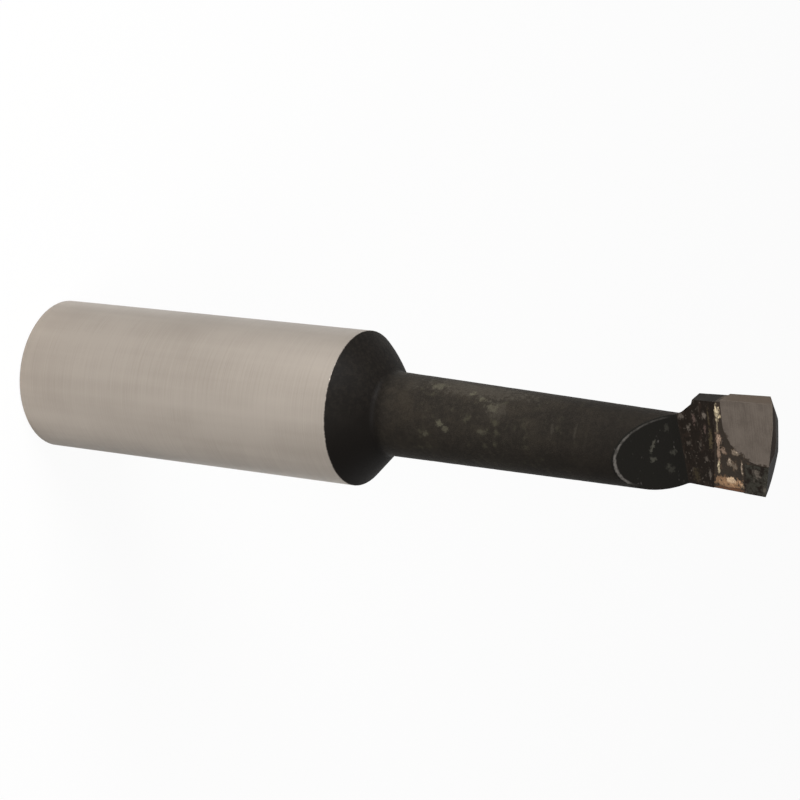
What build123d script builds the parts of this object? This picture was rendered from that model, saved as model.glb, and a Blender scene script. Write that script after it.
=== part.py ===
"""Brazed-tip boring bar: a ground shank, an eccentric tapered neck and a carbide tip.

The bar stands on the end of its shank. The origin is the centre of that end, +Z runs
up the axis to the cutting end, the cutting corner points to -X and the rake face looks
towards -Y. All sizes are in millimetres and all angles in degrees.
"""
from build123d import *
import os
from math import cos, pi, radians, sin, tan

# ---------------------------------------------------------------- shank and shoulder
shank_diameter = 15.875         # 5/8 in, ground to size
shank_length = 38.1             # 1-1/2 in, from the rear end to the shoulder
shank_chamfer = 0.25            # broken edge at the rear end
shoulder_length = 3.4           # from the shank down to the neck
shoulder_crown = 0.35           # its cutting side stands out this far from a plain cone
centre_hole_diameter = 2.0      # turning centre in the rear end
centre_hole_depth = 4.0
centre_mouth_diameter = 4.25
centre_angle = 60.0

# ------------------------------------------------------------------------------ neck
neck_root_diameter = 8.6        # where the neck leaves the cone
neck_root_back = 4.5            # from the axis to the back of the neck, at the cone
neck_end_diameter = 7.65        # where the neck meets the head
neck_root_fillet = 0.8

# ------------------------------------------------------------------------------ head
overall_length = 82.55          # 3-1/4 in, from the rear end to the cutting corner
head_diameter = 9.45            # round body of the head, on the bar's axis
head_length = 7.5               # full-size stretch of the head
head_slope_length = 3.0         # curved slope from the neck up to the head
slope_sections = 7              # round sections that carry the slope's curve
nose_length = 8.3               # from the cutting corner to the nose's shoulder
nose_slope_length = 0.6         # the nose's own rise to that shoulder
nose_rear_reach = 5.05          # from the axis to the side of the nose, at its rear
nose_front_reach = 5.5          # from the axis to the cutting corner
nose_shoulder_fillet = 0.35     # where the rise meets the side of the nose
tip_overhang = 0.2              # the tip's side stands out from the steel behind it
side_clearance = 12.0           # relief of the nose's side, under its cutting edge
flank_clearance = 60.0          # steeper flat behind it, down to the round body
flank_reach = 4.6               # from the axis square out to that flat

# ------------------------------------------------- rake face, chip ramp and front end
rake_angle = 5.0                # the rake face falls away from the cutting corner
ramp_angle = 47.5               # the chip ramp, from the rake face
ramp_distance = 10.0            # from the corner's height down the face to the ramp
ramp_skew = 4.0                 # how far the ramp's foot is turned out of square
ramp_foot_radius = 0.5
end_clearance = 15.0            # relief under the front edge
end_lead = 4.0                  # front edge at the cutting corner, out of square
corner_clearance = 27.0         # extra relief under the cutting corner alone
corner_lead = -11.0             # that relief runs out across the end
heel_clearance = 7.5            # relief under the heel of the front edge
heel_lead = 10.5                # front edge at the heel, out of square
heel_start = 3.0                # from the axis to where the heel begins

# ------------------------------------------------------- carbide tip, pocket, filler
tip_thickness = 2.4
tip_length = 5.44               # from the corner's height down to the rear edge
tip_inner_reach = 1.36          # from the axis to the tip's inner edge
tip_corner_radius = 4.0         # rounded rear inner corner
joint_gap = 0.12                # filler under the tip and beside its inner edge
pocket_length = 6.55            # from the corner's height down to the rear wall
pocket_skew = 6.0               # how far the rear wall is turned out of square
pocket_corner_radius = 1.5
runout_width = 3.175            # slot that the pocket's cutter leaves across the back
runout_depth = 0.5
filler_sink = 0.05              # the filler lies this far below the rake face

# ---------------------------------------------------------------------- derived sizes
neck_root_height = shank_length + shoulder_length
head_rear_height = overall_length - head_length
neck_end_height = head_rear_height - head_slope_length
nose_foot_height = overall_length - nose_length - nose_slope_length
head_radius = head_diameter / 2
neck_end_reach = neck_end_diameter - head_radius
neck_root_reach = neck_root_diameter - neck_root_back
shank_radius = shank_diameter / 2
past_metal = shank_diameter     # how far a cut runs past the metal

shank_section = (shank_length, shank_radius, shank_radius)
neck_root_section = (neck_root_height, neck_root_reach, neck_root_back)
crown_section = (
    (shank_length + neck_root_height) / 2,
    (shank_radius + neck_root_reach) / 2 + shoulder_crown,
    (shank_radius + neck_root_back) / 2,
)
shoulder_sections = (shank_section, crown_section, neck_root_section)
neck_sections = (neck_root_section, (neck_end_height, neck_end_reach, head_radius))

# The rake face passes through the axis at the corner's height. Its local x is +X, its
# local y runs up the bar and its normal points out of the face.
rake_face = Plane(
    origin=(0, 0, overall_length),
    x_dir=(1, 0, 0),
    z_dir=(0, -1, -tan(radians(rake_angle))),
)


def milling_plane(down: float, skew: float) -> Plane:
    """The rake face, moved `down` towards the shank and turned in itself by `skew`."""
    return Plane(
        origin=rake_face.from_local_coords((0, -down, 0)),
        x_dir=rake_face.x_dir.rotate(Axis((0, 0, 0), rake_face.z_dir), skew),
        z_dir=rake_face.z_dir,
    )


def front_plane(reach: float, height: float, lead: float, clearance: float) -> Plane:
    """A relieved plane of the front end, through a point `reach` to the cutting side."""
    slope = (tan(radians(lead)), tan(radians(clearance)), 1)
    return Plane(origin=(-reach, 0, height), z_dir=slope)


def eased(share: float) -> float:
    """A share of the way along the head's slope, as a share of its rise."""
    return (1 - cos(pi * share)) / 2


side_taper = (nose_front_reach - nose_rear_reach) / nose_length
side_dir = (-1, tan(radians(side_clearance)), -side_taper)
side_flat = Plane(origin=(-nose_front_reach, 0, overall_length), z_dir=side_dir)
flank_dir = (-cos(radians(flank_clearance)), sin(radians(flank_clearance)), 0)
flank_flat = Plane(origin=(0, 0, 0), z_dir=flank_dir).offset(flank_reach)
heel_height = overall_length - (nose_front_reach - heel_start) * tan(radians(end_lead))
end_faces = (
    front_plane(nose_front_reach, overall_length, end_lead, end_clearance),
    front_plane(nose_front_reach, overall_length, corner_lead, corner_clearance),
    front_plane(heel_start, heel_height, heel_lead, heel_clearance),
)

# ------------------------------------------------------ head forms, before the milling
# A round body on the bar's axis, with a nose that stands out on the cutting side. The
# nose is drawn from above the rake face, and its side is relieved in two flats. The
# first form is the tip's; in the second, the steel's, the nose's side is set back.
head_forms = []
for set_back in (0, tip_overhang):
    with BuildPart() as head_form:
        with BuildSketch(Plane.XZ):
            with BuildLine():
                Polyline(
                    (0, nose_foot_height),
                    (-neck_end_reach, nose_foot_height),
                    (set_back - nose_rear_reach, nose_foot_height + nose_slope_length),
                    (set_back - nose_front_reach, overall_length),
                    (0, overall_length),
                    close=True,
                )
            make_face()
            shoulder = vertices().sort_by(Axis.X)[1]
            fillet(shoulder, nose_shoulder_fillet)
        extrude(amount=-head_radius)
        split(bisect_by=side_flat.offset(-set_back), keep=Keep.BOTTOM)
        split(bisect_by=flank_flat, keep=Keep.BOTTOM)
        with BuildSketch(Plane.XY.offset(head_rear_height)):
            Circle(head_radius)
        extrude(amount=head_length)
        for end_face in end_faces:
            split(bisect_by=end_face, keep=Keep.BOTTOM)
    head_forms.append(head_form.part)
tip_form, steel_form = head_forms

# -------------------------------------------------- shapes of the milling cutters' cuts
# Everything in front of the rake face, from the foot of the chip ramp upwards. The
# ramp's foot is turned out of square, so the cut is drawn across that line.
ramp_line = milling_plane(ramp_distance, ramp_skew)
ramp_run = past_metal / tan(radians(ramp_angle))
with BuildPart() as chip_cut:
    with BuildSketch(Plane(ramp_line.origin, ramp_line.y_dir, ramp_line.x_dir)):
        with BuildLine():
            FilletPolyline(
                (past_metal, past_metal),
                (past_metal, 0),
                (0, 0),
                (-ramp_run, past_metal),
                radius=ramp_foot_radius,
                close=True,
            )
        make_face()
    extrude(amount=past_metal, both=True)

# The tip's seat, open to the front and to the cutting side, and the run-out of the
# same pass across the back.
seat_reach = tip_inner_reach + joint_gap
seat_depth = tip_thickness + joint_gap
rear_wall = milling_plane(pocket_length, -pocket_skew)
with BuildPart() as pocket_cut:
    with BuildSketch(rake_face) as seat_outline:
        with BuildLine():
            slope = tan(radians(pocket_skew))
            Polyline(
                (-past_metal, past_metal),
                (-past_metal, -pocket_length + past_metal * slope),
                (seat_reach, -pocket_length - seat_reach * slope),
                (seat_reach, past_metal),
                close=True,
            )
        make_face()
        inner_corner = vertices().group_by(Axis.Y)[0]
        fillet(inner_corner, pocket_corner_radius)
    extrude(amount=-seat_depth)
    with BuildSketch(rear_wall):
        Rectangle(past_metal, runout_width, align=(Align.MIN, Align.MIN))
    extrude(amount=-runout_depth)

# ------------------------------------------------------------------------ carbide tip
with BuildPart() as carbide_tip:
    with BuildSketch(rake_face):
        with Locations((tip_inner_reach, -tip_length)):
            Rectangle(past_metal, past_metal, align=(Align.MAX, Align.MIN))
        inner_corner = vertices().group_by(Axis.Y)[0].sort_by(Axis.X)[-1]
        fillet(inner_corner, tip_corner_radius)
    extrude(amount=-tip_thickness)
    add(tip_form, mode=Mode.INTERSECT)
carbide_tip.part.label = "carbide_tip"

# ------------------------------------------------------------------------------- bar
with BuildPart() as bar:
    with BuildSketch():
        Circle(shank_diameter / 2)
    extrude(amount=shank_length)
    chamfer(edges().group_by(Axis.Z)[0], shank_chamfer)
    # The shoulder, crowned on its cutting side, then the neck. A section has its height,
    # its reach to the cutting side and its reach to the back.
    for sections, straight in ((shoulder_sections, False), (neck_sections, True)):
        for height, reach, back in sections:
            with BuildSketch(Plane.XY.offset(height)):
                with Locations(((back - reach) / 2, 0)):
                    Circle((back + reach) / 2)
        loft(ruled=straight)
    root_edge = edges().filter_by_position(Axis.Z, neck_root_height, neck_root_height)
    fillet(root_edge, neck_root_fillet)
    # The slope from the neck up to the round body of the head.
    for step in range(slope_sections):
        share = step / (slope_sections - 1)
        height = neck_end_height + share * head_slope_length
        reach = neck_end_reach + eased(share) * (head_radius - neck_end_reach)
        with BuildSketch(Plane.XY.offset(height)):
            with Locations(((head_radius - reach) / 2, 0)):
                Circle((head_radius + reach) / 2)
    loft()
    add(steel_form)
    add(chip_cut.part, mode=Mode.SUBTRACT)
    add(pocket_cut.part, mode=Mode.SUBTRACT)
    with Locations(Plane(origin=(0, 0, 0), z_dir=(0, 0, -1))):
        CounterSinkHole(
            centre_hole_diameter / 2,
            centre_mouth_diameter / 2,
            centre_hole_depth,
            centre_angle,
        )
bar.part.label = "bar"

# ----------------------------------------------------------------------------- filler
with BuildPart() as braze:
    add(pocket_cut.part)
    split(bisect_by=rake_face.offset(-filler_sink), keep=Keep.BOTTOM)
    add(steel_form, mode=Mode.INTERSECT)
    add(carbide_tip.part, mode=Mode.SUBTRACT)
braze.part.label = "braze"

os.makedirs("parts", exist_ok=True)
export_step(bar.part, "parts/bar.step")
export_step(carbide_tip.part, "parts/carbide_tip.step")
export_step(braze.part, "parts/braze.step")
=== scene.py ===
"""Dresses the boring bar: ground shank, black oxide neck, carbide tip and its brazing.

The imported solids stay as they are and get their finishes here. The beads, runs and
drops of brazing alloy that stand proud of the head are pieces of their own.
"""

import logging
import math
from dataclasses import dataclass
from enum import Enum
from functools import cached_property
from typing import Any, Optional, Union

import bpy
from mathutils import Matrix, Vector


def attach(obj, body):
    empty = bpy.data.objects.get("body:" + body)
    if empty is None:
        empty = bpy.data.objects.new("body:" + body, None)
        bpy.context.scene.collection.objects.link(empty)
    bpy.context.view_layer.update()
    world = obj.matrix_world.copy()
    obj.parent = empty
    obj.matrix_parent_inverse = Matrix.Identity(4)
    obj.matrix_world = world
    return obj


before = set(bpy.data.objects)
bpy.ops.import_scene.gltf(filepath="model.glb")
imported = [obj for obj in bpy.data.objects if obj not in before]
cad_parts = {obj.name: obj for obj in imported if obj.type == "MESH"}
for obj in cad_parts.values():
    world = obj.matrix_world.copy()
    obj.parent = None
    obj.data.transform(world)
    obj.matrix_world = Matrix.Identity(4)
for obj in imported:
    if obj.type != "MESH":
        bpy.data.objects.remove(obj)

LOG = logging.getLogger("boring_bar")
MM = 0.001
NOISE_MIDDLE = 0.5
MIX_SHARE, MIX_FIRST, MIX_SECOND, MIX_RESULT = 0, 6, 7, 2
Triple = tuple[float, float, float]
Colour = Triple
Span = tuple[float, float]
Number = Union[int, float]
WHITE: Colour = (1.0, 1.0, 1.0)
FLUX: Colour = (0.138, 0.116, 0.096)


# ------------------------------------------------------------------ shader building
@dataclass(frozen=True)
class Pattern:
    """A noise pattern.

    The scale says how many features a millimetre holds along X, Y and Z. Where there
    is a span, the noise goes from 0 to 1 over it.
    """

    scale: Triple
    detail: float = 3.0
    roughness: float = 0.55
    origin: Triple = (0, 0, 0)
    span: Optional[Span] = None


@dataclass(frozen=True)
class Coat:
    """A colour and the share that it covers of what lies under it."""

    colour: Colour
    strength: float = 1.0


class Value:
    """A shader socket that takes part in plain Python sums."""

    def __init__(self, sheet: "NodeSheet", socket: Any) -> None:
        """Keeps the socket and the sheet that its nodes go on.

        Args:
            sheet: the sheet that new nodes are added to.
            socket: an output socket that carries a number.
        """
        self.sheet = sheet
        self.socket = socket

    def _sum(self, operation: str, *others: Any) -> "Value":
        """One Math node on this value and the others."""
        inputs = {i: other for i, other in enumerate((self, *others))}
        return self.sheet.value("ShaderNodeMath", {"operation": operation}, inputs)

    def __add__(self, other: Any) -> "Value":
        """Adds."""
        return self._sum("ADD", other)

    def __sub__(self, other: Any) -> "Value":
        """Takes away."""
        return self._sum("SUBTRACT", other)

    def __mul__(self, other: Any) -> "Value":
        """Multiplies."""
        return self._sum("MULTIPLY", other)

    def __truediv__(self, other: Any) -> "Value":
        """Divides."""
        return self._sum("DIVIDE", other)

    def __pow__(self, other: Any) -> "Value":
        """Raises to a power."""
        return self._sum("POWER", other)

    def __rsub__(self, other: Any) -> "Value":
        """A number less this value."""
        return self.sheet.value(
            "ShaderNodeMath", {"operation": "SUBTRACT"}, {0: other, 1: self}
        )

    __radd__ = __add__
    __rmul__ = __mul__

    def size(self) -> "Value":
        """The value without its sign."""
        return self._sum("ABSOLUTE")

    def root(self) -> "Value":
        """The square root."""
        return self._sum("SQRT")

    def most(self, other: Any) -> "Value":
        """The larger of the two."""
        return self._sum("MAXIMUM", other)

    def sway(self, reach: float) -> "Value":
        """A noise pattern turned into a shift either way.

        Args:
            reach: the shift in all, from one end of the noise to the other.

        Returns:
            The shift, which is 0 in the noise's middle.
        """
        return (self - NOISE_MIDDLE) * reach

    def floored(self, least: float) -> "Value":
        """A share that starts from a least one instead of from 0.

        Args:
            least: what a share of 0 becomes.

        Returns:
            The share, from the least one to 1.
        """
        return self * (1 - least) + least

    def rise(self, start: Number, end: Number) -> "Value":
        """Goes smoothly from 0 at start to 1 at end, or back where start is larger.

        Args:
            start: the value that gives 0.
            end: the value that gives 1.

        Returns:
            The eased share, from 0 to 1.
        """
        low, high = min(start, end), max(start, end)
        eased = self.sheet.value(
            "ShaderNodeMapRange",
            {"interpolation_type": "SMOOTHSTEP", "clamp": True},
            {"Value": self, "From Min": low, "From Max": high},
            "Result",
        )
        return eased if start < end else 1 - eased


class NodeSheet:
    """The nodes of a material or of the world, added by type, settings and inputs."""

    def __init__(self, owner: Union[bpy.types.Material, bpy.types.World]) -> None:
        """Starts an empty sheet.

        Args:
            owner: the material or world that the nodes belong to.
        """
        self.owner = owner
        owner.use_nodes = True
        self.tree = owner.node_tree
        self.tree.nodes.clear()

    @cached_property
    def place(self) -> Any:
        """The point in the object's own coordinates, in metres."""
        return self.node("ShaderNodeTexCoord").outputs["Object"]

    def node(
        self,
        kind: str,
        settings: Optional[dict[str, Any]] = None,
        inputs: Optional[dict[Any, Any]] = None,
    ) -> Any:
        """Adds any node.

        Args:
            kind: the node's type.
            settings: properties that are set first.
            inputs: a number, colour, socket or Value for each input, by name or number.

        Returns:
            The new node.
        """
        made = self.tree.nodes.new(kind)
        for key, setting in (settings or {}).items():
            setattr(made, key, setting)
        for key, given in (inputs or {}).items():
            socket = made.inputs[key]
            if isinstance(given, Value):
                given = given.socket
            if isinstance(given, bpy.types.NodeSocket):
                self.tree.links.new(given, socket)
            elif isinstance(given, tuple) and socket.type == "RGBA":
                socket.default_value = (*given, 1.0)
            else:
                socket.default_value = given
        return made

    def value(
        self,
        kind: str,
        settings: Optional[dict[str, Any]] = None,
        inputs: Optional[dict[Any, Any]] = None,
        output: Union[str, int] = 0,
    ) -> Value:
        """Adds a node and gives one of its outputs as a Value."""
        return Value(self, self.node(kind, settings, inputs).outputs[output])

    def scaled(self, scale: Triple, origin: Triple = (0, 0, 0)) -> Any:
        """Object coordinates in millimetres from an origin, stretched by a scale.

        Args:
            scale: pattern units for each millimetre along X, Y and Z.
            origin: the pattern's zero, in millimetres.

        Returns:
            A vector socket.
        """
        moved = self.node(
            "ShaderNodeVectorMath",
            {"operation": "SUBTRACT"},
            {0: self.place, 1: tuple(c * MM for c in origin)},
        )
        grown = self.node(
            "ShaderNodeVectorMath",
            {"operation": "MULTIPLY"},
            {0: moved.outputs[0], 1: tuple(s / MM for s in scale)},
        )
        return grown.outputs[0]

    def noise(self, pattern: Pattern) -> Value:
        """A noise pattern in Object coordinates.

        Args:
            pattern: the pattern's scale, build-up, origin and span.

        Returns:
            The noise, eased over the span if there is one.
        """
        noise = self.value(
            "ShaderNodeTexNoise",
            {"noise_dimensions": "3D"},
            {
                "Vector": self.scaled(pattern.scale, pattern.origin),
                "Scale": 1.0,
                "Detail": pattern.detail,
                "Roughness": pattern.roughness,
            },
            "Fac",
        )
        return noise.rise(*pattern.span) if pattern.span else noise

    def along(self, direction: Vector, origin: Vector = Vector((0, 0, 0))) -> Value:
        """How far a point lies along a direction from an origin, in millimetres.

        Args:
            direction: a unit vector in the bar's frame.
            origin: a point in the bar's frame, in millimetres.

        Returns:
            The signed distance in millimetres.
        """
        return self.value(
            "ShaderNodeVectorMath",
            {"operation": "DOT_PRODUCT"},
            {0: self.scaled((1, 1, 1), tuple(origin)), 1: tuple(direction)},
            "Value",
        )

    def mix(self, share: Value, first: Any, second: Any) -> Any:
        """A colour that goes from the first to the second by the share."""
        mixed = self.node(
            "ShaderNodeMix",
            {"data_type": "RGBA", "clamp_factor": True},
            {MIX_SHARE: share, MIX_FIRST: first, MIX_SECOND: second},
        )
        return mixed.outputs[MIX_RESULT]

    def laid(self, colour: Any, *coats: tuple[Value, Coat]) -> Any:
        """A colour with coats laid over it, one after the other.

        Args:
            colour: the colour underneath.
            coats: where each coat lies, from 0 to 1, and the coat.

        Returns:
            A colour socket.
        """
        for share, coat in coats:
            colour = self.mix(share * coat.strength, colour, coat.colour)
        return colour

    @staticmethod
    def blend(values: tuple[Value, ...], weights: tuple[float, ...]) -> Value:
        """The sum of the values, each times its weight."""
        total = values[0] * weights[0]
        for value, weight in zip(values[1:], weights[1:]):
            total = total + value * weight
        return total

    def bump(self, height: Value, distance: float, under: Any = None) -> Any:
        """A normal that is raised by a height.

        Args:
            height: the pattern, from 0 to 1.
            distance: the height of 1, in millimetres.
            under: an earlier bump's normal, if there is one.

        Returns:
            A normal socket.
        """
        inputs = {"Height": height, "Distance": distance * MM, "Strength": 1.0}
        if under is not None:
            inputs["Normal"] = under
        return self.node("ShaderNodeBump", None, inputs).outputs["Normal"]

    def surface(self, inputs: dict[str, Any]) -> bpy.types.Material:
        """Ends the sheet with a Principled surface and gives the material."""
        shader = self.node("ShaderNodeBsdfPrincipled", None, inputs)
        self.node("ShaderNodeOutputMaterial", None, {"Surface": shader.outputs[0]})
        return self.owner


# ------------------------------------------------------------------------ the bar
@dataclass(frozen=True)
class BarSizes:
    """The bar's own sizes, in millimetres and degrees, as the solids have them."""

    overall_length: float = 82.55
    shank_length: float = 38.1
    shoulder_length: float = 3.4
    neck_root_diameter: float = 8.6
    neck_root_back: float = 4.5
    neck_end_diameter: float = 7.65
    neck_end_height: float = 72.05
    head_radius: float = 4.725
    rake_angle: float = 5.0
    ramp_angle: float = 47.5
    ramp_distance: float = 10.0
    ramp_skew: float = 4.0
    nose_length: float = 8.3
    nose_rear_reach: float = 5.05
    nose_front_reach: float = 5.5
    side_clearance: float = 12.0
    tip_length: float = 5.44
    tip_inner_reach: float = 1.36
    tip_corner_radius: float = 4.0

    @property
    def rake_normal(self) -> Vector:
        """The direction that the rake face looks in."""
        angle = math.radians(self.rake_angle)
        return Vector((0, -math.cos(angle), -math.sin(angle)))

    @property
    def rake_up(self) -> Vector:
        """The direction up the rake face, towards the front edge."""
        angle = math.radians(self.rake_angle)
        return Vector((0, -math.sin(angle), math.cos(angle)))

    @property
    def rake_origin(self) -> Vector:
        """The point of the rake face on the axis, at the corner's height."""
        return Vector((0, 0, self.overall_length))

    @property
    def ramp_normal(self) -> Vector:
        """The direction that the chip ramp looks in."""
        turn = Matrix.Rotation(math.radians(self.ramp_skew), 3, self.rake_normal)
        slope = math.radians(self.ramp_angle)
        up = turn @ self.rake_up
        return up * math.sin(slope) + self.rake_normal * math.cos(slope)

    @property
    def ramp_origin(self) -> Vector:
        """The middle of the ramp's foot."""
        return self.rake_origin - self.rake_up * self.ramp_distance

    @property
    def side_normal(self) -> Vector:
        """The direction that the side of the nose looks in."""
        taper = (self.nose_front_reach - self.nose_rear_reach) / self.nose_length
        lean = math.tan(math.radians(self.side_clearance))
        return Vector((-1, lean, -taper)).normalized()

    @property
    def corner(self) -> Vector:
        """The cutting corner."""
        return Vector((-self.nose_front_reach, 0, self.overall_length))

    def on_rake(self, reach: float, down: float, proud: float = 0.0) -> Vector:
        """A point of the rake face.

        Args:
            reach: from the axis, away from the cutting side.
            down: from the corner's height down the face.
            proud: out of the face.

        Returns:
            The point, in millimetres.
        """
        point = self.rake_origin + Vector((reach, 0, 0)) - self.rake_up * down
        return point + self.rake_normal * proud


@dataclass(frozen=True)
class Mark:
    """A soft-edged patch: its place across and along a face, its size and strength."""

    reach: float
    down: float
    half_width: float
    half_length: float
    strength: float = 1.0
    turn: float = 0.0


class BarMasks:
    """Shares from 0 to 1 that say which of the bar's surfaces a point is on."""

    MARK_EDGE: Span = (1.35, 0.45)
    FLAT_EDGE: Span = (0.07, 0.04)
    RAMP_EDGE: Span = (0.14, 0.07)

    def __init__(self, sheet: NodeSheet, sizes: BarSizes) -> None:
        """Measures the point once, for all the masks.

        Args:
            sheet: the material's nodes.
            sizes: the bar's sizes.
        """
        self.sheet = sheet
        self.sizes = sizes
        self.x = sheet.along(Vector((1, 0, 0)))
        self.y = sheet.along(Vector((0, 1, 0)))
        self.z = sheet.along(Vector((0, 0, 1)))
        self.above_rake = sheet.along(sizes.rake_normal, sizes.rake_origin)
        self.down_rake = sheet.along(-sizes.rake_up, sizes.rake_origin)
        self.above_ramp = sheet.along(sizes.ramp_normal, sizes.ramp_origin)

    def marks(
        self,
        marks: tuple[Mark, ...],
        fray: Value,
        reach: float,
        face: Optional[tuple[Value, Value]] = None,
    ) -> Value:
        """The marks of a set, with frayed edges.

        Args:
            marks: the patches.
            fray: a noise pattern that moves their edges.
            reach: how far the noise moves the edge, as a share of the patch.
            face: how far a point lies across and along the marked face, in
                millimetres; the rake face if it is left out.

        Returns:
            The share that the marks cover.
        """
        found: Optional[Value] = None
        wander = fray.sway(2 * reach)
        across_face, down_face = face or (self.x, self.down_rake)
        for mark in marks:
            turn = math.radians(mark.turn)
            across = across_face - mark.reach
            down = down_face - mark.down
            long_way = down * math.cos(turn) + across * math.sin(turn)
            short_way = across * math.cos(turn) - down * math.sin(turn)
            wide = (short_way / mark.half_width) ** 2
            far = (wide + (long_way / mark.half_length) ** 2).root()
            patch = (far + wander).rise(*self.MARK_EDGE) * mark.strength
            found = patch if found is None else found.most(patch)
        return found

    @cached_property
    def on_rake(self) -> Value:
        """The milled face that the rake face and the land behind it share."""
        return self.above_rake.size().rise(*self.FLAT_EDGE)

    @cached_property
    def on_side(self) -> Value:
        """The relieved side of the tip."""
        above = self.sheet.along(self.sizes.side_normal, self.sizes.corner)
        return above.size().rise(*self.FLAT_EDGE)

    @cached_property
    def from_tip_centre(self) -> Value:
        """How far a point lies from the middle of the tip's round corner."""
        sizes = self.sizes
        radius = sizes.tip_corner_radius
        across = (self.x - (sizes.tip_inner_reach - radius)).most(0.0)
        down = (self.down_rake - (sizes.tip_length - radius)).most(0.0)
        return (across**2 + down**2).root()

    @cached_property
    def on_ramp(self) -> Value:
        """The chip ramp."""
        return self.above_ramp.size().rise(*self.RAMP_EDGE)

    @cached_property
    def neck_face(self) -> tuple[Value, Value]:
        """How far round the neck and how high a point lies, in millimetres.

        The first is 0 on the side that the rake face looks to, and below 0 towards the
        cutting corner.
        """
        turn = self.sheet.value(
            "ShaderNodeMath",
            {"operation": "ARCTAN2"},
            {0: self.x, 1: self.y * -1.0},
        )
        return turn * (self.sizes.neck_root_diameter / 2), self.z

    @cached_property
    def under_neck(self) -> Value:
        """How far the point lies inside the neck's round skin, in millimetres."""
        sizes = self.sizes
        root_height = sizes.shank_length + sizes.shoulder_length
        share = (self.z - root_height) / (sizes.neck_end_height - root_height)
        root_middle = sizes.neck_root_back - sizes.neck_root_diameter / 2
        end_middle = sizes.head_radius - sizes.neck_end_diameter / 2
        middle = share * (end_middle - root_middle) + root_middle
        girth = share * ((sizes.neck_end_diameter - sizes.neck_root_diameter) / 2)
        far = ((self.x - middle) ** 2 + self.y**2).root()
        return girth + sizes.neck_root_diameter / 2 - far


# ---------------------------------------------------------------------- finishes
@dataclass(frozen=True)
class Skin:
    """What a finish comes to: its colour, roughness, share of metal and relief."""

    colour: Any
    roughness: Value
    metallic: Union[Value, float]
    relief: Value


@dataclass(frozen=True)
class GroundSteel:
    """The shank: ground bright, with a faced rear end and a dark centre hole."""

    bright: Colour = (0.425, 0.378, 0.335)
    dull: Coat = Coat((0.35, 0.308, 0.270))
    hole: Coat = Coat((0.019, 0.0155, 0.0115), 0.75)
    roughness: float = 0.27
    ring_roughness: float = 0.16
    rings: Pattern = Pattern((0.12, 0.12, 9.0), roughness=0.7)
    bands: Pattern = Pattern((0.34, 0.34, 0.012), roughness=0.6)
    clouds: Pattern = Pattern((0.16, 0.16, 0.11), 2.0, origin=(40, 0, 9))
    dull_weights: Triple = (0.35, 0.4, 0.45)
    dull_span: Span = (0.44, 0.82)
    faced_height: Span = (0.03, 0.005)
    facing_scale: float = 7.0
    facing_roughness: float = 0.6
    facing_height: float = 2.0
    hole_radius: Span = (2.2, 2.0)
    hole_depth: Span = (6.0, 5.0)

    def skin(self, masks: BarMasks) -> Skin:
        """Builds the ground finish.

        Args:
            masks: the bar's masks.

        Returns:
            The finish.
        """
        sheet = masks.sheet
        rings = sheet.noise(self.rings)
        parts = (rings, sheet.noise(self.bands), sheet.noise(self.clouds))
        dull = sheet.blend(parts, self.dull_weights).rise(*self.dull_span)
        from_axis = (masks.x**2 + masks.y**2).root()
        in_hole = from_axis.rise(*self.hole_radius) * masks.z.rise(*self.hole_depth)
        faced = masks.z.rise(*self.faced_height)
        facing = sheet.value(
            "ShaderNodeTexNoise",
            {"noise_dimensions": "1D"},
            {
                "W": from_axis,
                "Scale": self.facing_scale,
                "Roughness": self.facing_roughness,
            },
            "Fac",
        )
        return Skin(
            colour=sheet.laid(self.bright, (dull, self.dull), (in_hole, self.hole)),
            roughness=rings * self.ring_roughness + self.roughness,
            metallic=1.0,
            relief=rings * (1 - faced) + facing * faced * self.facing_height,
        )


@dataclass(frozen=True)
class RimLine:
    """A thin pale line around the ramp's rim."""

    depth: float = 0.15
    wander: float = 0.16
    line: Span = (0.14, 0.03)
    patchy: Pattern = Pattern((1.6, 1.6, 1.6), origin=(5, 5, 5), span=(0.35, 0.55))
    least_patch: float = 0.4
    behind_foot: Span = (0.3, 1.5)
    across: Span = (3.7, 2.7)
    up: Span = (70.5, 66.5)
    least_up: float = 0.28

    def share(self, masks: BarMasks, fine: Value) -> Value:
        """How strongly the pale line shows.

        Args:
            masks: the bar's masks.
            fine: a noise pattern that makes the line waver.

        Returns:
            The share from 0 to 1.
        """
        depth = masks.under_neck + fine.sway(self.wander)
        line = (depth - self.depth).size().rise(*self.line)
        patchy = masks.sheet.noise(self.patchy).floored(self.least_patch)
        faded = masks.z.rise(*self.up).floored(self.least_up)
        faded = masks.x.rise(*self.across) * faded
        return line * patchy * masks.above_rake.rise(*self.behind_foot) * faded


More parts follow.
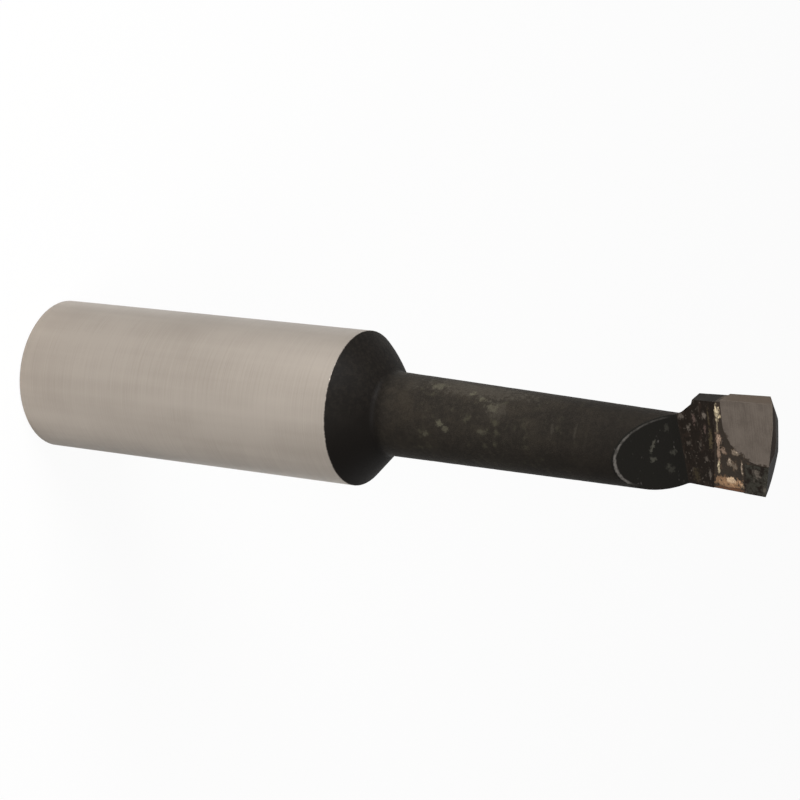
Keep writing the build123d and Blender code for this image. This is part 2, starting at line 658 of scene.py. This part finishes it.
@dataclass(frozen=True)
class BlackOxide:
    """The neck and head: black oxide, with a pale rim line, scratches and the traces of
    brazing.

    The pale marks and the spots lie round and up the neck, the others across and down
    the head. Places are in millimetres.
    """

    black: Colour = (0.0042, 0.0034, 0.0028)
    thin: Coat = Coat((0.0125, 0.0105, 0.0084))
    brown: Coat = Coat((0.019, 0.0155, 0.0115))
    fleck: Coat = Coat((0.036, 0.033, 0.022), 0.7)
    pale: Coat = Coat((0.038, 0.033, 0.026), 0.85)
    spot: Coat = Coat((0.062, 0.057, 0.040), 0.85)
    mottle: Coat = Coat((0.026, 0.0215, 0.0165), 0.42)
    scoop: Coat = Coat((0.0060, 0.0056, 0.0046), 0.92)
    land: Coat = Coat((0.0125, 0.0092, 0.0070), 0.85)
    heel: Coat = Coat((0.031, 0.029, 0.023))
    heat: Coat = Coat((0.022, 0.0150, 0.0115), 0.75)
    # a pale, partly metallic colour for the rim line and the ramp's scratches
    pale_line_and_scratches: Coat = Coat((0.112, 0.103, 0.094))
    smear: Coat = Coat(FLUX, 0.30)
    grit: Coat = Coat(FLUX, 0.35)
    blush: Coat = Coat((0.12, 0.082, 0.070))
    olive: Coat = Coat((0.060, 0.047, 0.026))
    dust: Coat = Coat((0.042, 0.040, 0.032))
    flux: Coat = Coat(FLUX)
    broad: Pattern = Pattern((0.42, 0.42, 0.30), 4.0, 0.62)
    turned: Pattern = Pattern((0.25, 0.25, 5.5), 2.0, 0.6)
    grains: Pattern = Pattern((6.5, 6.5, 6.5), 2.0, 0.7)
    clusters: Pattern = Pattern((0.55, 0.55, 0.45), 1.0, 0.55, (9, 1, 4), (0.42, 0.60))
    flecks: Pattern = Pattern((1.25, 1.25, 1.5), 3.0, 0.55, (7, 3, 0), (0.50, 0.74))
    speckle: Pattern = Pattern((2.2, 2.2, 2.2), 4.0, 0.7, (2, 6, 3))
    blotches: Pattern = Pattern((1.3, 1.6, 1.6), 4.0, 0.7, (4, 4, 2), (0.40, 0.58))
    scratches: Pattern = Pattern((1.1, 1.1, 3.6), 3.0, 0.55, (3, 8, 1), (0.66, 0.76))
    heated: Pattern = Pattern((0.9, 1.6, 1.6), 4.0, 0.55, (1, 5, 2), (0.52, 0.68))
    smears: Pattern = Pattern((1.0, 3.6, 3.6), 3.0, 0.55, (2, 0, 5), (0.60, 0.72))
    specks: Pattern = Pattern((2.6, 3.4, 3.4), 3.0, 0.55, (8, 5, 5), (0.62, 0.70))
    fray: Pattern = Pattern((3.4, 4.4, 4.4), 4.0, 0.75, (6, 2, 1))
    neck_start: Span = (41.3, 43.0)
    nose_start: Span = (73.0, 74.5)
    root_fade: Span = (68.0, 53.0)
    fleck_start: Span = (43.0, 47.0)
    fleck_end: Span = (68.0, 54.0)
    heel_start: Span = (3.9, 3.3)
    land_start: Span = (6.3, 6.9)
    # brown and mottling lie heavier on the -X side, which faces the key lamp: painted
    # sheen over the oxide's own tone
    brown_and_sheen_side: Span = (2.0, -4.0)
    mottle_and_sheen_side: Span = (-1.0, -5.0)
    brown_span: Span = (0.50, 0.74)
    mottle_span: Span = (0.44, 0.62)
    brown_weights: Triple = (0.7, 0.2, 0.25)
    relief_weights: Triple = (0.4, 0.25, 0.35)
    # the even share and the -X side share, which carries the painted sheen
    brown_and_sheen_side_weights: Span = (0.6, 0.4)
    mottle_and_sheen_side_weights: Span = (0.65, 0.35)
    least_brown_off_neck: float = 0.25
    least_brown_far: float = 0.3
    least_mottle_far: float = 0.4
    least_thin_far: float = 0.5
    nose_kept_black: float = 0.8
    spot_fray: float = 1.8
    brazing_fray: float = 2.4
    scratch_strength: float = 0.45
    pale_line_and_scratch_metallic: float = 0.5
    roughness: float = 0.40
    grain_roughness: float = 0.22
    ramp_roughness: float = 0.1
    rim: RimLine = RimLine()
    flux_marks: tuple[Mark, ...] = (
        Mark(-2.70, 9.80, 0.30, 0.34, 0.50),
        Mark(-3.20, 7.25, 0.34, 0.17, 0.75),
        Mark(-1.55, 9.15, 0.30, 0.20, 0.60),
        Mark(0.15, 9.25, 0.22, 0.22, 0.30),
        Mark(1.55, 7.55, 0.28, 0.18, 0.40),
        Mark(3.20, 7.30, 0.50, 0.14, 0.50),
        Mark(2.30, 2.35, 0.50, 0.26, 0.55, 20.0),
        Mark(3.95, 1.65, 0.30, 0.20, 0.40),
    )
    olive_marks: tuple[Mark, ...] = (
        Mark(-0.60, 6.85, 1.10, 0.17, 0.80, -4.0),
        Mark(-3.00, 6.85, 1.00, 0.08, 0.50),
        Mark(3.60, 8.80, 0.70, 0.30, 0.40),
    )
    blush_marks: tuple[Mark, ...] = (
        Mark(-2.65, 8.40, 0.60, 0.17, 0.55),
        Mark(-1.75, 7.35, 0.50, 0.12, 0.50),
    )
    dust_marks: tuple[Mark, ...] = (
        Mark(-0.20, 11.95, 0.58, 0.12, 0.95, -16.0),
        Mark(1.20, 12.00, 0.26, 0.20, 0.75),
        Mark(1.00, 10.60, 0.24, 0.22, 0.55),
        Mark(2.30, 11.00, 0.28, 0.17, 0.45),
        Mark(2.80, 10.80, 0.40, 0.20, 0.35),
        Mark(-1.70, 10.95, 0.40, 0.15, 0.35),
    )
    pale_marks: tuple[Mark, ...] = (
        Mark(-6.60, 52.0, 1.4, 5.6, 0.90),
        Mark(-7.40, 48.6, 0.9, 1.3, 0.60),
        Mark(-4.07, 54.7, 1.0, 1.1, 0.60),
        Mark(-2.40, 61.0, 0.8, 0.18, 0.45),
        Mark(-2.60, 63.4, 0.9, 0.15, 0.35),
        Mark(-6.10, 44.9, 0.9, 0.8, 0.40),
    )
    spot_marks: tuple[Mark, ...] = (
        Mark(-6.33, 47.8, 0.50, 0.80, 0.60),
        Mark(-0.52, 47.4, 0.32, 0.30, 0.55),
        Mark(-1.79, 48.9, 0.36, 0.42, 0.85),
        Mark(-1.15, 49.6, 0.32, 0.36, 0.65),
        Mark(-5.80, 51.7, 0.36, 0.32, 0.90),
        Mark(-5.10, 52.9, 0.32, 0.42, 0.65),
        Mark(-4.20, 54.2, 0.50, 0.60, 0.50, 25.0),
        Mark(-1.38, 53.6, 0.36, 0.50, 0.50),
    )

    def skin(self, masks: BarMasks, fine: Value) -> Skin:
        """Builds the black oxide finish.

        Args:
            masks: the bar's masks.
            fine: a noise pattern that makes the pale rim line waver.

        Returns:
            The finish.
        """
        sheet = masks.sheet
        grains = sheet.noise(self.grains)
        parts = (sheet.noise(self.broad), sheet.noise(self.turned), grains)
        roughness = grains * self.grain_roughness + self.roughness
        scratches = sheet.noise(self.scratches) * masks.on_ramp * self.scratch_strength
        pale_line_and_scratches = (self.rim.share(masks, fine) * masks.on_ramp).most(scratches)
        return Skin(
            colour=self._head(masks, self._neck(masks, parts), pale_line_and_scratches),
            roughness=roughness + masks.on_ramp * self.ramp_roughness,
            metallic=pale_line_and_scratches * self.pale_line_and_scratch_metallic,
            relief=sheet.blend(parts, self.relief_weights),
        )

    def _neck(self, masks: BarMasks, parts: tuple[Value, ...]) -> Any:
        """The neck's colour: browned and mottled oxide with flecks and pale spots. The
        brown and the mottling lie heavier on the -X side, which faces the key lamp:
        partly the oxide's own tone, partly painted sheen.
        """
        sheet = masks.sheet
        on_neck = masks.z.rise(*self.neck_start)
        near_root = masks.z.rise(*self.root_fade)
        off_nose = 1 - masks.z.rise(*self.nose_start) * self.nose_kept_black
        # more brown on the -X side, which faces the key lamp, as painted sheen
        brown_and_sheen_side = masks.x.rise(*self.brown_and_sheen_side)
        brown = sheet.blend(parts, self.brown_weights).rise(*self.brown_span)
        brown = brown * on_neck.floored(self.least_brown_off_neck)
        brown = brown * near_root.floored(self.least_brown_far)
        brown = brown * sheet.blend((on_neck, brown_and_sheen_side), self.brown_and_sheen_side_weights)
        flecks = sheet.noise(self.flecks) * sheet.noise(self.clusters)
        fleck_zone = masks.z.rise(*self.fleck_start) * masks.z.rise(*self.fleck_end)
        speckle = sheet.noise(self.speckle)
        around = masks.neck_face
        pale = masks.marks(self.pale_marks, speckle, self.spot_fray, around)
        spots = masks.marks(self.spot_marks, speckle, self.spot_fray, around)
        # more mottling on the -X side, which faces the key lamp, as painted sheen
        mottle_and_sheen_side = masks.x.rise(*self.mottle_and_sheen_side)
        mottle = speckle.rise(*self.mottle_span)
        mottle = mottle * near_root.floored(self.least_mottle_far)
        mottle = mottle * sheet.blend((on_neck, mottle_and_sheen_side), self.mottle_and_sheen_side_weights)
        thin = on_neck * near_root.floored(self.least_thin_far) * off_nose
        return sheet.laid(
            self.black,
            (thin, self.thin),
            (brown, self.brown),
            (flecks * fleck_zone, self.fleck),
            (pale * on_neck, self.pale),
            (spots * on_neck, self.spot),
            (mottle, self.mottle),
        )

    def _head(self, masks: BarMasks, colour: Any, pale_line_and_scratches: Value) -> Any:
        """The head's coats over the neck's colour: the pale rim line and scratches,
        heat, dust and flux.
        """
        sheet = masks.sheet
        on_ramp = masks.on_ramp
        on_rake = masks.on_rake
        heel = on_rake * masks.down_rake.rise(*self.heel_start)
        land = on_rake * masks.down_rake.rise(*self.land_start)
        fray = sheet.noise(self.fray)
        marked = tuple(
            (masks.marks(marks, fray, self.brazing_fray) * face, coat)
            for marks, face, coat in (
                (self.blush_marks, on_rake, self.blush),
                (self.olive_marks, on_rake, self.olive),
                (self.dust_marks, on_ramp, self.dust),
                (self.flux_marks, on_rake, self.flux),
            )
        )
        return sheet.laid(
            colour,
            (on_ramp, self.scoop),
            (on_rake, self.land),
            (heel * sheet.noise(self.blotches), self.heel),
            (land * sheet.noise(self.heated), self.heat),
            (pale_line_and_scratches, self.pale_line_and_scratches),
            (sheet.noise(self.smears) * on_rake, self.smear),
            (sheet.noise(self.specks) * on_rake, self.grit),
            *marked,
        )


@dataclass(frozen=True)
class ToolSteel:
    """The bar's steel: ground bright on the shank, black oxide on neck and head."""

    sizes: BarSizes
    shank: GroundSteel = GroundSteel()
    head: BlackOxide = BlackOxide()
    fine: Pattern = Pattern((3.2, 3.2, 3.2), 4.0)
    edge_wander: float = 0.12
    edge_width: float = 0.06
    shine: float = 0.05
    grinding_height: float = 0.006
    crust_height: float = 0.035

    def material(self) -> bpy.types.Material:
        """Builds the material of the whole bar."""
        sheet = NodeSheet(bpy.data.materials.new("tool_steel"))
        masks = BarMasks(sheet, self.sizes)
        fine = sheet.noise(self.fine)
        edge = self.sizes.shank_length
        ground = (masks.z + fine.sway(self.edge_wander)).rise(
            edge + self.edge_width, edge - self.edge_width
        )
        bright = self.shank.skin(masks)
        dark = self.head.skin(masks, fine)
        normal = sheet.bump(bright.relief * ground, self.grinding_height)
        normal = sheet.bump(dark.relief * (1 - ground), self.crust_height, normal)
        roughness = ground * (bright.roughness - dark.roughness) + dark.roughness
        return sheet.surface(
            {
                "Base Color": sheet.mix(ground, dark.colour, bright.colour),
                "Metallic": ground * (bright.metallic - dark.metallic) + dark.metallic,
                "Roughness": roughness,
                "Specular IOR Level": self.shine,
                "Normal": normal,
            }
        )


@dataclass(frozen=True)
class SinteredCarbide:
    """The tip: fine ground sintered carbide, darker where the torch reached it. The
    faces other than the rake face and the relieved side get a near-black colour as
    painted shade.
    """

    sizes: BarSizes
    colour: Colour = (0.135, 0.112, 0.094)
    shade: Coat = Coat((0.095, 0.078, 0.065))
    flank: Coat = Coat((0.067, 0.052, 0.039))
    flank_brown: Coat = Coat((0.062, 0.043, 0.031), 0.6)
    # painted shade: the end and the other faces off the rake face and the relieved side
    # are made near black
    end: Coat = Coat((0.020, 0.015, 0.012))
    heat: Coat = Coat((0.095, 0.078, 0.065), 0.7)
    soot: Coat = Coat((0.026, 0.019, 0.013), 0.9)
    lines: Pattern = Pattern((0.5, 9.0, 9.0), roughness=0.6)
    clouds: Pattern = Pattern((0.6, 0.6, 0.6), 4.0, 0.6)
    grain: Pattern = Pattern((14.0, 14.0, 14.0), 2.0)
    ragged: Pattern = Pattern((1.5, 1.9, 1.9), 4.0, 0.7, (2, 1, 7))
    shade_weights: Triple = (0.35, 0.5, 0.25)
    shade_span: Span = (0.42, 0.72)
    off_face: Span = (-0.03, -0.08)
    brown_depth: Span = (0.3, -1.4)
    brown_weights: Span = (0.5, 0.5)
    cloud_span: Span = (0.35, 0.6)
    heat_start: Span = (4.7, 5.6)
    soot_wander: float = 1.9
    soot_radius: Span = (3.78, 4.06)
    soot_side: Span = (-2.4, -1.2)
    roughness: float = 0.43
    line_roughness: float = 0.14
    end_roughness: float = 0.3
    metallic: float = 0.35
    shine: float = 0.03
    relief_weights: Span = (0.6, 0.4)
    relief_height: float = 0.006

    def material(self) -> bpy.types.Material:
        """Builds the tip's material."""
        sheet = NodeSheet(bpy.data.materials.new("carbide"))
        masks = BarMasks(sheet, self.sizes)
        lines = sheet.noise(self.lines)
        clouds = sheet.noise(self.clouds)
        grain = sheet.noise(self.grain)
        shade = sheet.blend((lines, clouds, grain), self.shade_weights)
        off_face = masks.above_rake.rise(*self.off_face)
        on_flank = off_face * masks.on_side
        # the end and the other faces off the rake face and the relieved side, which
        # carry the painted shade
        on_end_with_painted_shade = off_face * (1 - masks.on_side)
        cloudy = clouds.rise(*self.cloud_span)
        depth = masks.above_rake.rise(*self.brown_depth)
        browned = sheet.blend((depth, cloudy), self.brown_weights)
        ragged = sheet.noise(self.ragged).sway(self.soot_wander)
        soot = (masks.from_tip_centre + ragged).rise(*self.soot_radius)
        soot = soot * (1 - off_face) * masks.x.rise(*self.soot_side)
        colour = sheet.laid(
            self.colour,
            (shade.rise(*self.shade_span), self.shade),
            (on_flank, self.flank),
            (on_flank * browned, self.flank_brown),
            # painted shade: near black on the end and the other faces off the rake face
            # and the side
            (on_end_with_painted_shade, self.end),
            (masks.down_rake.rise(*self.heat_start) * cloudy, self.heat),
            (soot, self.soot),
        )
        roughness = lines * self.line_roughness + on_end_with_painted_shade * self.end_roughness
        relief = sheet.blend((lines, grain), self.relief_weights)
        return sheet.surface(
            {
                "Base Color": colour,
                "Metallic": (1 - on_end_with_painted_shade) * (1 - soot) * self.metallic,
                "Roughness": roughness + self.roughness,
                "Specular IOR Level": self.shine,
                "Normal": sheet.bump(relief, self.relief_height),
            }
        )


@dataclass(frozen=True)
class BrazingAlloy:
    """Silver-brass filler: golden crests, with copper and black flux between them."""

    sizes: BarSizes
    gold: Colour = (0.55, 0.46, 0.31)
    pink: Colour = (0.40, 0.28, 0.205)
    beige: Colour = (0.26, 0.205, 0.155)
    copper: Colour = (0.31, 0.185, 0.105)
    crest: Colour = (0.56, 0.40, 0.26)
    rust: Colour = (0.15, 0.07, 0.038)
    black: Coat = Coat((0.022, 0.016, 0.011))
    fine: Pattern = Pattern((2.6, 4.2, 4.2), 4.0, 0.65)
    broad: Pattern = Pattern((0.9, 1.3, 1.3), origin=(4, 2, 6))
    grains: Pattern = Pattern((9.0, 9.0, 9.0), 2.0)
    bare_weights: Span = (0.6, 0.4)
    bare_span: Span = (0.58, 0.68)
    bare_strength: float = 0.3
    fray: float = 1.6
    tint_span: Span = (0.0, 0.4)
    pitted_span: Span = (0.54, 0.66)
    pitted_strength: float = 0.6
    side_depth: Span = (-0.15, -0.55)
    side_soot: float = 0.8
    metallic: float = 0.8
    soot_dulling: float = 0.7
    roughness: float = 0.32
    soot_roughness: float = 0.2
    grain_roughness: float = 0.2
    shine: float = 0.2
    relief_weights: Span = (0.6, 0.4)
    relief_height: float = 0.05
    gold_marks: tuple[Mark, ...] = (
        Mark(-3.65, 5.90, 0.72, 0.30, 1.0),
        Mark(-2.00, 6.04, 1.00, 0.08, 0.35, -6.0),
        Mark(2.20, 6.28, 0.75, 0.13, 0.70, -6.0),
    )
    pink_marks: tuple[Mark, ...] = (
        Mark(-0.75, 6.05, 0.65, 0.27, 0.90),
        Mark(0.75, 6.15, 0.75, 0.16, 0.60, -6.0),
        Mark(0.35, 5.60, 0.45, 0.25, 0.50),
    )
    beige_marks: tuple[Mark, ...] = (
        Mark(1.60, 5.05, 0.45, 0.25, 0.90),
        Mark(1.95, 4.60, 0.45, 0.25, 0.45),
        Mark(2.10, 3.85, 0.80, 0.11, 0.75),
        Mark(0.38, 4.38, 0.28, 0.45, 0.80),
    )
    copper_marks: tuple[Mark, ...] = (Mark(3.85, 5.30, 0.60, 1.45, 0.95),)
    crest_marks: tuple[Mark, ...] = (
        Mark(3.45, 5.05, 0.26, 0.45, 0.8),
        Mark(4.05, 3.90, 0.28, 0.18, 0.4),
    )
    rust_marks: tuple[Mark, ...] = (Mark(4.52, 5.00, 0.22, 1.60, 0.9),)

    def material(self) -> bpy.types.Material:
        """Builds the alloy's material."""
        sheet = NodeSheet(bpy.data.materials.new("filler"))
        masks = BarMasks(sheet, self.sizes)
        fine = sheet.noise(self.fine)
        grains = sheet.noise(self.grains)
        bare = sheet.blend((fine, sheet.noise(self.broad)), self.bare_weights)
        bare = bare.rise(*self.bare_span) * self.bare_strength
        tint: Any = self.copper
        for marks, metal in (
            (self.gold_marks, self.gold),
            (self.pink_marks, self.pink),
            (self.beige_marks, self.beige),
            (self.copper_marks, self.copper),
            (self.crest_marks, self.crest),
            (self.rust_marks, self.rust),
        ):
            patch = masks.marks(marks, fine, self.fray)
            bare = bare.most(patch)
            tint = sheet.mix(patch.rise(*self.tint_span), tint, metal)
        pitted = fine.rise(*self.pitted_span) * self.pitted_strength
        sides = masks.above_rake.rise(*self.side_depth) * self.side_soot
        soot = 1 - bare * (1 - pitted) * (1 - sides)
        roughness = soot * self.soot_roughness + grains * self.grain_roughness
        relief = sheet.blend((fine, grains), self.relief_weights)
        return sheet.surface(
            {
                "Base Color": sheet.laid(tint, (soot, self.black)),
                "Metallic": self.metallic - soot * self.soot_dulling,
                "Roughness": roughness + self.roughness,
                "Specular IOR Level": self.shine,
                "Normal": sheet.bump(relief, self.relief_height),
            }
        )


class Finish(Enum):
    """The finishes that the pieces and nodes take."""

    TOOL_STEEL = "tool_steel"
    CARBIDE = "carbide"
    FILLER = "filler"


class Finishes:
    """Makes each finish once and puts it on objects."""

    def __init__(self, sizes: BarSizes) -> None:
        """Builds the materials.

        Args:
            sizes: the bar's sizes, which the patterns are placed by.
        """
        self.made = {
            Finish.TOOL_STEEL: ToolSteel(sizes).material(),
            Finish.CARBIDE: SinteredCarbide(sizes).material(),
            Finish.FILLER: BrazingAlloy(sizes).material(),
        }

    def dress(self, piece: bpy.types.Object, finish: Finish) -> None:
        """Gives an object a finish in its only material slot."""
        if not piece.material_slots:
            piece.data.materials.append(None)
        for slot in piece.material_slots:
            slot.material = self.made[finish]


# --------------------------------------------------------------------- new pieces
class Bench:
    """Plain modelling moves that the new pieces share."""

    CLOUD_DEPTH = 2

    @staticmethod
    def clear() -> None:
        """Leaves nothing selected."""
        bpy.ops.object.select_all(action="DESELECT")

    @staticmethod
    def roughen(piece: bpy.types.Object, feature: float, height: float) -> None:
        """Moves the skin in and out by a cloud pattern.

        Args:
            piece: the active object.
            feature: the pattern's size, in millimetres.
            height: how far the skin moves in all, in millimetres.
        """
        clouds = bpy.data.textures.new(f"{piece.name}_{feature}", "CLOUDS")
        clouds.noise_scale = feature * MM
        clouds.noise_depth = Bench.CLOUD_DEPTH
        push = piece.modifiers.new("roughen", "DISPLACE")
        push.texture = clouds
        push.texture_coords = "LOCAL"
        push.strength = height * MM
        push.mid_level = NOISE_MIDDLE
        bpy.ops.object.modifier_apply(modifier=push.name)

    @staticmethod
    def settle() -> None:
        """Puts the active object's place, turn and size into its mesh."""
        bpy.ops.object.transform_apply(location=True, rotation=True, scale=True)


@dataclass(frozen=True)
class Puddle:
    """A flat lump on the rake face, in millimetres and degrees.

    Its middle lies at a reach from the axis and a distance down the face. The turn is
    in the face.
    """

    name: str
    reach: float
    down: float
    half_width: float
    half_length: float
    proud: float
    turn: float = 0.0


@dataclass(frozen=True)
class Brazing:
    """The filler that stands in the gap behind the tip and ran over the steel.

    The roughening gives the size and the height of each cloud pattern in turn.
    """

    sizes: BarSizes
    half_thickness: float = 0.3
    subdivisions: int = 5
    roughening: tuple[Span, ...] = ((0.9, 0.30), (0.3, 0.14))
    puddles: tuple[Puddle, ...] = (
        Puddle("braze_bead_head", -3.75, 5.90, 0.85, 0.34, 0.12),
        Puddle("braze_bead", -0.20, 6.14, 3.00, 0.22, 0.09, -6.0),
        Puddle("braze_blob", -0.60, 5.92, 0.75, 0.36, 0.12),
        Puddle("braze_run", 3.85, 5.15, 0.62, 1.60, 0.10),
        Puddle("braze_drop", 1.65, 5.00, 0.50, 0.36, 0.08, 12.0),
        Puddle("braze_drop_low", 2.10, 3.85, 0.80, 0.14, 0.07),
        Puddle("braze_smear", 0.38, 4.38, 0.28, 0.45, 0.06),
    )

    def build(self) -> list[bpy.types.Object]:
        """Models the beads, runs and drops.

        Returns:
            The new pieces.
        """
        return [self._lay(puddle) for puddle in self.puddles]

    def _lay(self, puddle: Puddle) -> bpy.types.Object:
        """Models one puddle.

        Args:
            puddle: its name, place and size.

        Returns:
            The piece.
        """
        sizes = self.sizes
        Bench.clear()
        bpy.ops.mesh.primitive_ico_sphere_add(
            subdivisions=self.subdivisions, radius=MM
        )
        piece = bpy.context.object
        piece.name = puddle.name
        piece.data.name = puddle.name
        turned = Matrix.Rotation(math.radians(puddle.turn), 3, sizes.rake_normal)
        axes = (turned @ Vector((1, 0, 0)), turned @ sizes.rake_up, sizes.rake_normal)
        spin = Matrix(axes).transposed().to_4x4()
        half_size = (puddle.half_width, puddle.half_length, self.half_thickness)
        sunk = puddle.proud - self.half_thickness
        middle = sizes.on_rake(puddle.reach, puddle.down, sunk) * MM
        place = Matrix.Translation(middle) @ spin
        piece.matrix_world = place @ Matrix.Diagonal((*half_size, 1.0))
        Bench.settle()
        for feature, height in self.roughening:
            Bench.roughen(piece, feature, height)
        bpy.ops.object.shade_smooth()
        return piece


# -------------------------------------------------------------------------- studio
@dataclass(frozen=True)
class Viewpoint:
    """Where the camera stands, which way it is turned, and its lens."""

    place: Vector = Vector((-0.11250, -0.18003, 0.15929))
    right: Vector = Vector((0.155186, 0.468327, 0.869820))
    up: Vector = Vector((-0.874440, 0.474793, -0.099626))
    lens: float = 108.1
    sensor: float = 36.0
    near: float = 0.01

    def build(self) -> None:
        """Makes the scene's camera."""
        data = bpy.data.cameras.new("camera")
        data.lens = self.lens
        data.sensor_width = self.sensor
        data.clip_start = self.near
        camera = bpy.data.objects.new("camera", data)
        bpy.context.scene.collection.objects.link(camera)
        back = self.right.cross(self.up)
        turn = Matrix((self.right, self.up, back)).transposed().to_4x4()
        camera.matrix_world = Matrix.Translation(self.place) @ turn
        bpy.context.scene.camera = camera


@dataclass(frozen=True)
class Softbox:
    """One soft lamp, in metres and watts."""

    name: str
    place: Vector
    target: Vector
    width: float
    height: float
    power: float

    def build(self) -> None:
        """Makes the lamp and aims it."""
        data = bpy.data.lights.new(self.name, "AREA")
        data.shape = "RECTANGLE"
        data.size = self.width
        data.size_y = self.height
        data.energy = self.power
        data.color = WHITE
        lamp = bpy.data.objects.new(self.name, data)
        bpy.context.scene.collection.objects.link(lamp)
        lamp.location = self.place
        aim = (self.target - self.place).to_track_quat("-Z", "Y")
        lamp.rotation_euler = aim.to_euler()


@dataclass
class Studio:
    """A plain pale floor, a white surround and soft lamps.

    The whites are shares from 0 to 1: how white the floor and the surround look to the
    camera and in reflections, and how much the surround lights.
    """

    floor_size: float = 6.0
    floor_colour: Colour = (0.66, 0.655, 0.64)
    seen_white: float = 0.94
    mirrored_white: float = 0.06
    surround: float = 0.22
    mirrored_surround: float = 0.8
    lamps: tuple[Softbox, ...] = (
        Softbox(
            name="key",
            place=Vector((-0.29, -0.03, 0.22)),
            target=Vector((0, 0, 0.03)),
            width=0.2,
            height=0.2,
            power=1.8,
        ),
        Softbox(
            name="front",
            place=Vector((-0.12, -0.40, 0.30)),
            target=Vector((0, 0, 0.05)),
            width=0.3,
            height=0.3,
            power=1.75,
        ),
    )

    def build(self) -> None:
        """Sets up the floor, the surround and the lamps."""
        self._floor()
        self._world()
        for lamp in self.lamps:
            lamp.build()
        bpy.context.scene.view_settings.view_transform = "Standard"

    @staticmethod
    def _plain_sight(sheet: NodeSheet, seen: float, mirrored: float) -> Value:
        """How white a surface looks by the kind of ray that meets it.

        Args:
            sheet: the nodes that the ray is asked in.
            seen: the share for the camera, also through glass.
            mirrored: the share for reflections.

        Returns:
            The share of white.
        """
        path = sheet.node("ShaderNodeLightPath")
        camera = Value(sheet, path.outputs["Is Camera Ray"]) * seen
        glossy = Value(sheet, path.outputs["Is Glossy Ray"]) * mirrored
        glass = Value(sheet, path.outputs["Is Transmission Ray"]) * seen
        return camera.most(glossy).most(glass)

    def _floor(self) -> None:
        """The pale floor, which keeps the bar's shadow."""
        Bench.clear()
        bpy.ops.mesh.primitive_plane_add(size=self.floor_size, location=(0, 0, 0))
        floor = bpy.context.object
        floor.name = "floor"
        sheet = NodeSheet(bpy.data.materials.new("floor"))
        share = self._plain_sight(sheet, self.seen_white, self.mirrored_white)
        lit = sheet.node("ShaderNodeBsdfDiffuse", None, {"Color": self.floor_colour})
        white = sheet.node("ShaderNodeEmission", None, {"Color": WHITE, "Strength": 1})
        both = sheet.node(
            "ShaderNodeMixShader",
            None,
            {0: share, 1: lit.outputs[0], 2: white.outputs[0]},
        )
        sheet.node("ShaderNodeOutputMaterial", None, {"Surface": both.outputs[0]})
        floor.data.materials.append(sheet.owner)

    def _world(self) -> None:
        """A white surround for the camera and reflections, softer as a light."""
        world = bpy.data.worlds.new("surround")
        bpy.context.scene.world = world
        sheet = NodeSheet(world)
        share = self._plain_sight(sheet, 1.0, self.mirrored_surround)
        white = sheet.node(
            "ShaderNodeBackground",
            None,
            {"Color": WHITE, "Strength": share.most(self.surround)},
        )
        sheet.node("ShaderNodeOutputWorld", None, {"Surface": white.outputs[0]})


@dataclass
class BoringBar:
    """The whole bar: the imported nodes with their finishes, and the brazing."""

    sizes: BarSizes

    def build(self) -> None:
        """Dresses the nodes and adds the new pieces."""
        finishes = Finishes(self.sizes)
        for node, finish in (
            ("bar", Finish.TOOL_STEEL),
            ("carbide_tip", Finish.CARBIDE),
            ("braze", Finish.FILLER),
        ):
            finishes.dress(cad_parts[node], finish)
            LOG.info("dressed %s as %s", node, finish.value)
        for piece in Brazing(self.sizes).build():
            finishes.dress(piece, Finish.FILLER)
            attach(piece, "root")
            LOG.info("added %s", piece.name)


def main() -> None:
    """Builds the bar, the studio and the camera."""
    logging.basicConfig(level=logging.INFO, format="%(name)s: %(message)s")
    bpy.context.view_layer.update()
    BoringBar(BarSizes()).build()
    Studio().build()
    Viewpoint().build()


if __name__ == "__main__":
    main()
